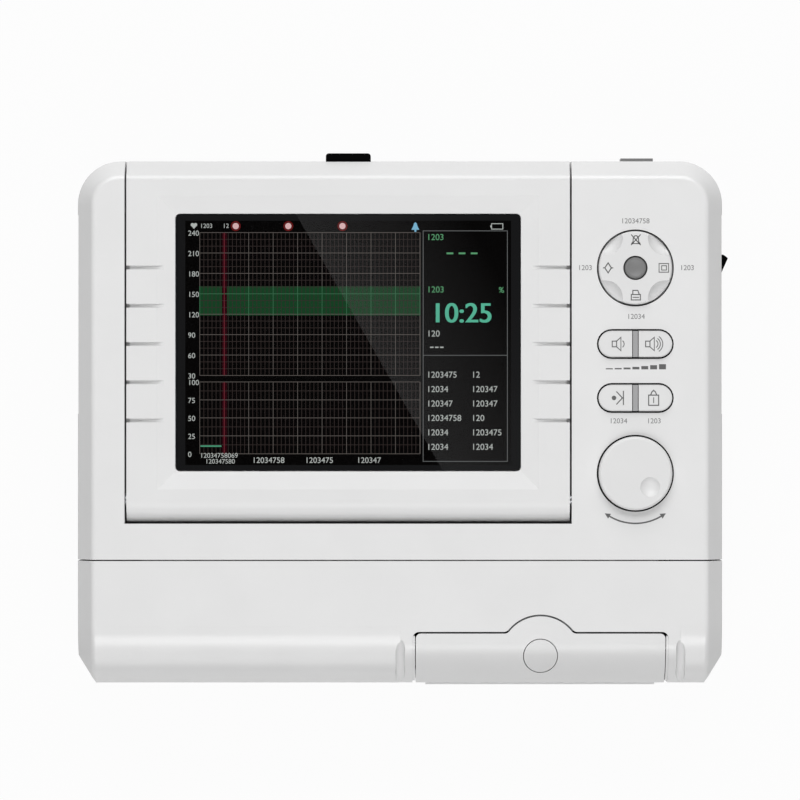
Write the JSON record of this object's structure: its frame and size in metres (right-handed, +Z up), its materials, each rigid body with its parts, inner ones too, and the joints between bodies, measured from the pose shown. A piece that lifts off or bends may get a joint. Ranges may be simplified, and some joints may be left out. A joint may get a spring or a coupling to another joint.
{
  "type": "cardiotocograph",
  "caption": "Desktop fetal monitor with a fold-up screen panel, keypad column with knob, strip printer behind a front door, side sockets and a rocker switch.",
  "frame": {"origin": "on the table under the middle of the case", "axes": "+X to the user's right, +Y to the rear, +Z up"},
  "size_m": [0.3023, 0.2462, 0.087],
  "materials": {
    "case_white": "fine moulded texture",
    "screen_white": "smooth satin",
    "key_white": "smooth satin",
    "grey_plastic": "satin",
    "divider_grey": "satin",
    "black_plastic": "satin",
    "mat_rubber": "matte",
    "feet_rubber": "matte",
    "gear_plastic": "satin",
    "steel": "brushed",
    "brass": "turned",
    "motor_black": "painted",
    "head_aluminium": "extruded",
    "screen_glass": "polished",
    "display_black": "lit display",
    "board_green": "solder mask",
    "battery_blue": "shrink film"
  },
  "bodies": {
    "case": {"base_tray": "case_white", "top_cover": "case_white", "front_cover": "case_white", "left_socket_panel": "divider_grey", "right_switch_panel": "divider_grey", "battery_door": "case_white", "battery_door_screws": "steel", "battery_pack": "battery_blue", "rubber_feet": "feet_rubber", "case_screws": "steel", "bracket_inserts": "brass", "hinge_brackets": "steel", "key_dividers": "divider_grey", "keypad_mat": "mat_rubber", "keypad_board": "board_green", "keypad_screws": "steel", "encoder_body": "black_plastic", "door_hinge_pins": "steel", "stepper_motor": "motor_black", "gear_plate": "steel", "printer_frame": "black_plastic", "thermal_head": "head_aluminium", "tear_bar": "steel", "main_board": "board_green", "power_supply": "board_green", "loudspeaker": "motor_black", "ultrasound_sockets": "black_plastic", "contraction_socket": "grey_plastic", "marker_socket": "black_plastic", "power_inlet": "black_plastic", "switch_body": "black_plastic", "network_port": "grey_plastic"},
    "screen": {"screen_bezel": "screen_white", "screen_back": "screen_white", "screen_glass": "screen_glass", "lcd_module": "display_black", "display_board": "board_green", "screen_screws": "steel", "hinge_pins": "steel"},
    "latch": {"screen_latch": "black_plastic"},
    "nav_ring": {"nav_ring": "grey_plastic"},
    "nav_pad": {"nav_pad": "key_white"},
    "nav_button": {"nav_button": "grey_plastic"},
    "volume_down": {"volume_down_key": "key_white"},
    "volume_up": {"volume_up_key": "key_white"},
    "event": {"event_key": "key_white"},
    "lock": {"lock_key": "key_white"},
    "knob": {"knob": "key_white", "encoder_shaft": "steel"},
    "rocker": {"power_rocker": "black_plastic"},
    "door": {"printer_door": "screen_white"},
    "door_button": {"door_button": "key_white"},
    "platen": {"platen_roller": "feet_rubber", "platen_shaft": "steel", "platen_gear": "gear_plastic"},
    "idler": {"idler_gear": "gear_plastic"},
    "pinion": {"motor_pinion": "brass"}
  },
  "joints": [
    {"name": "screen_hinge", "type": "hinge", "parent": "case", "child": "screen", "pos_m": [-0.02395, -0.036, 0.072], "axis": [1, 0, 0], "range_deg": [0, 60]},
    {"name": "latch_press", "type": "slide", "parent": "screen", "child": "latch", "axis": [0, -1, 0], "range_m": [0, 0.002], "stiffness_N_per_m": 400},
    {"name": "nav_rock_front_back", "type": "hinge", "parent": "case", "child": "nav_ring", "pos_m": [0.1086, 0.0712, 0.0763], "axis": [1, 0, 0], "range_deg": [-2.5, 2.5], "stiffness_Nm_per_rad": 0.6},
    {"name": "nav_rock_side", "type": "hinge", "parent": "nav_ring", "child": "nav_pad", "pos_m": [0.1086, 0.0712, 0.079], "axis": [0, 1, 0], "range_deg": [-2.5, 2.5], "stiffness_Nm_per_rad": 0.6},
    {"name": "nav_button_press", "type": "slide", "parent": "case", "child": "nav_button", "axis": [0, 0, -1], "range_m": [0, 0.0008], "stiffness_N_per_m": 400},
    {"name": "volume_down_press", "type": "slide", "parent": "case", "child": "volume_down", "axis": [0, 0, -1], "range_m": [0, 0.0008], "stiffness_N_per_m": 400},
    {"name": "volume_up_press", "type": "slide", "parent": "case", "child": "volume_up", "axis": [0, 0, -1], "range_m": [0, 0.0008], "stiffness_N_per_m": 400},
    {"name": "event_press", "type": "slide", "parent": "case", "child": "event", "axis": [0, 0, -1], "range_m": [0, 0.0008], "stiffness_N_per_m": 400},
    {"name": "lock_press", "type": "slide", "parent": "case", "child": "lock", "axis": [0, 0, -1], "range_m": [0, 0.0008], "stiffness_N_per_m": 400},
    {"name": "knob_turn", "type": "hinge", "parent": "case", "child": "knob", "pos_m": [0.1086, -0.0236, 0.08], "axis": [0, 0, 1], "continuous": true},
    {"name": "power_rocker_swing", "type": "hinge", "parent": "case", "child": "rocker", "pos_m": [0.1443, 0.0669, 0.042], "axis": [0, 0, 1], "range_deg": [0, 24]},
    {"name": "door_hinge", "type": "hinge", "parent": "case", "child": "door", "pos_m": [0.0649, -0.1168, 0.017], "axis": [1, 0, 0], "range_deg": [0, 80]},
    {"name": "door_button_press", "type": "slide", "parent": "door", "child": "door_button", "axis": [0, 0, -1], "range_m": [0, 0.0015], "stiffness_N_per_m": 400},
    {"name": "platen_turn", "type": "hinge", "parent": "door", "child": "platen", "pos_m": [0.0649, -0.0983, 0.056], "axis": [1, 0, 0], "continuous": true},
    {"name": "idler_turn", "type": "hinge", "parent": "case", "child": "idler", "pos_m": [0.1215, -0.07908, 0.05012], "axis": [1, 0, 0], "continuous": true},
    {"name": "pinion_turn", "type": "hinge", "parent": "case", "child": "pinion", "pos_m": [0.1215, -0.06542, 0.03983], "axis": [1, 0, 0], "continuous": true}
  ],
  "couplings": [
    {"joint": "idler_turn", "follows": "platen_turn", "ratio": -0.66667},
    {"joint": "pinion_turn", "follows": "platen_turn", "ratio": 1.6}
  ]
}
